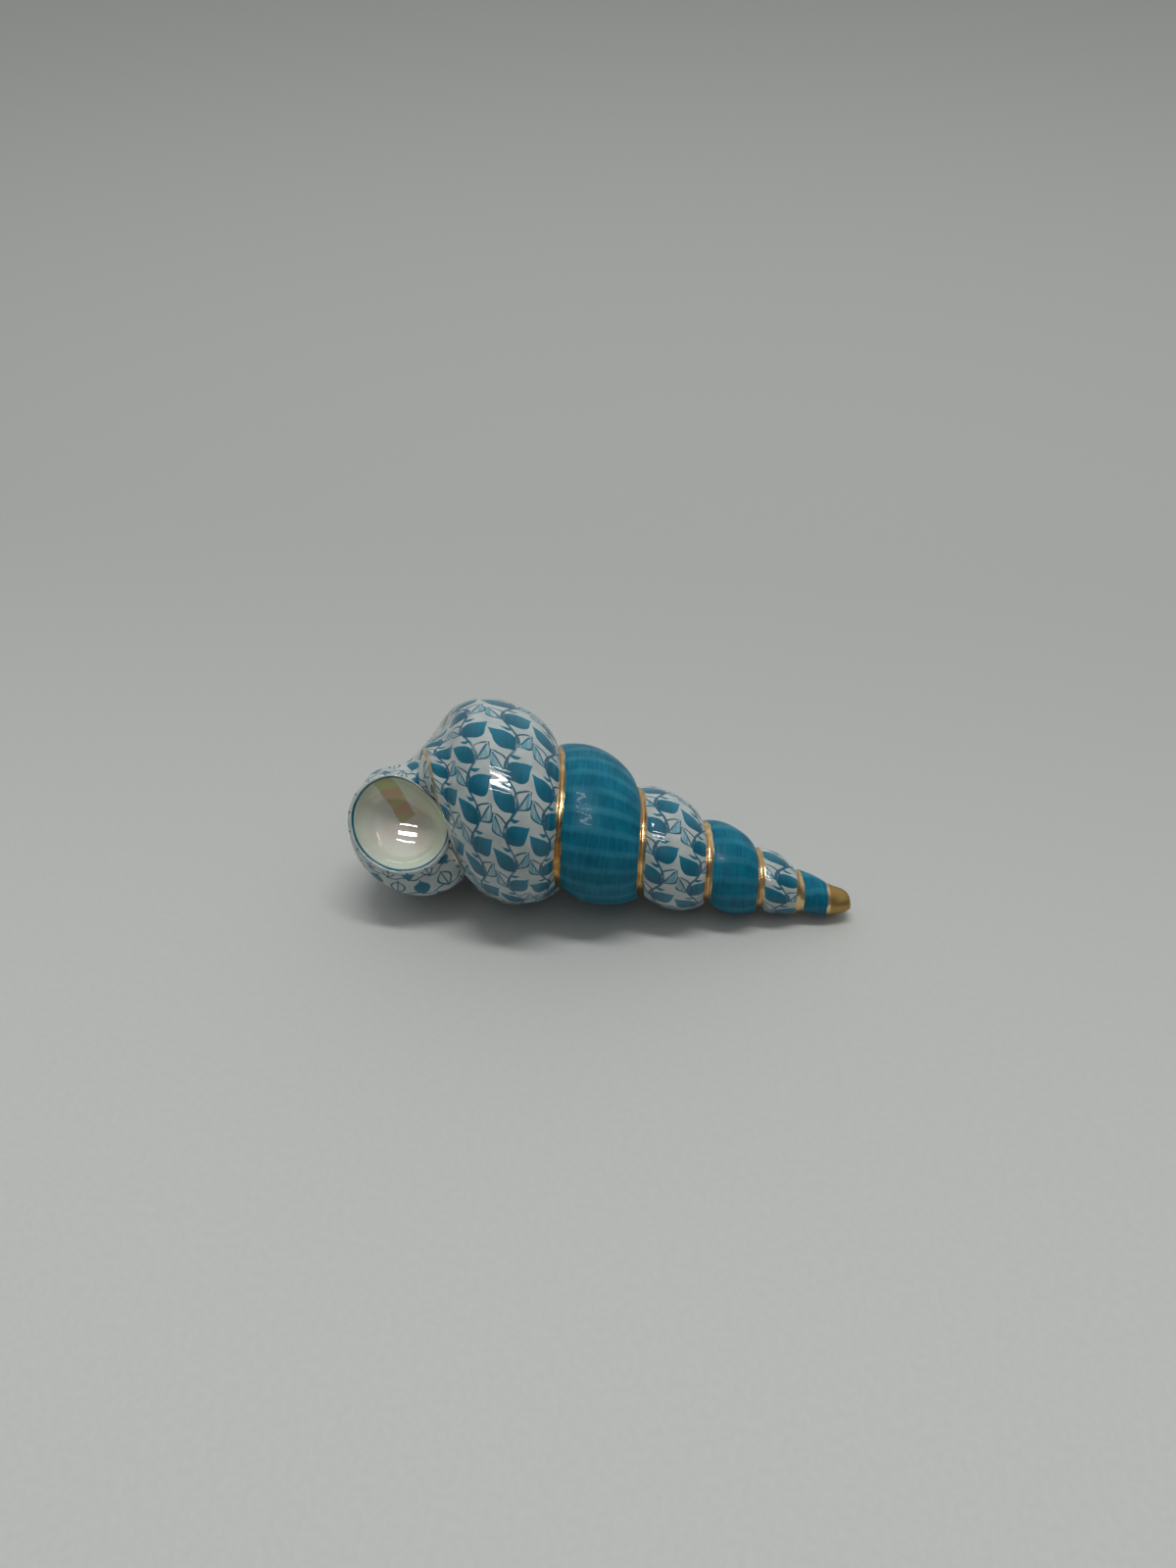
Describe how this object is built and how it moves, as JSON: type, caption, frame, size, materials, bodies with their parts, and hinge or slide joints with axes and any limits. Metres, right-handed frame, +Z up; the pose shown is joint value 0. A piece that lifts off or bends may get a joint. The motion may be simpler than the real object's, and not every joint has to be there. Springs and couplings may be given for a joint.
{
  "type": "porcelain wentletrap shell figurine",
  "caption": "Porcelain figurine of a right-handed spiral seashell lying on its side: swelling turns, gold seams, a slender tip and a round pearly mouth bowl.",
  "frame": {"origin": "on the surface it stands on, below the middle of the shell's bounding box", "axes": "+X towards the tip, +Z up, -Y the front, which the mouth opens to"},
  "size_m": [0.094, 0.0362, 0.0371],
  "materials": {
    "glazed_porcelain": "high gloss clear glaze over white porcelain, hand painted in turquoise, with gold seams and tip and a mother-of-pearl lustre in the mouth"
  },
  "bodies": {
    "root": {"shell": "glazed_porcelain"}
  },
  "joints": []
}
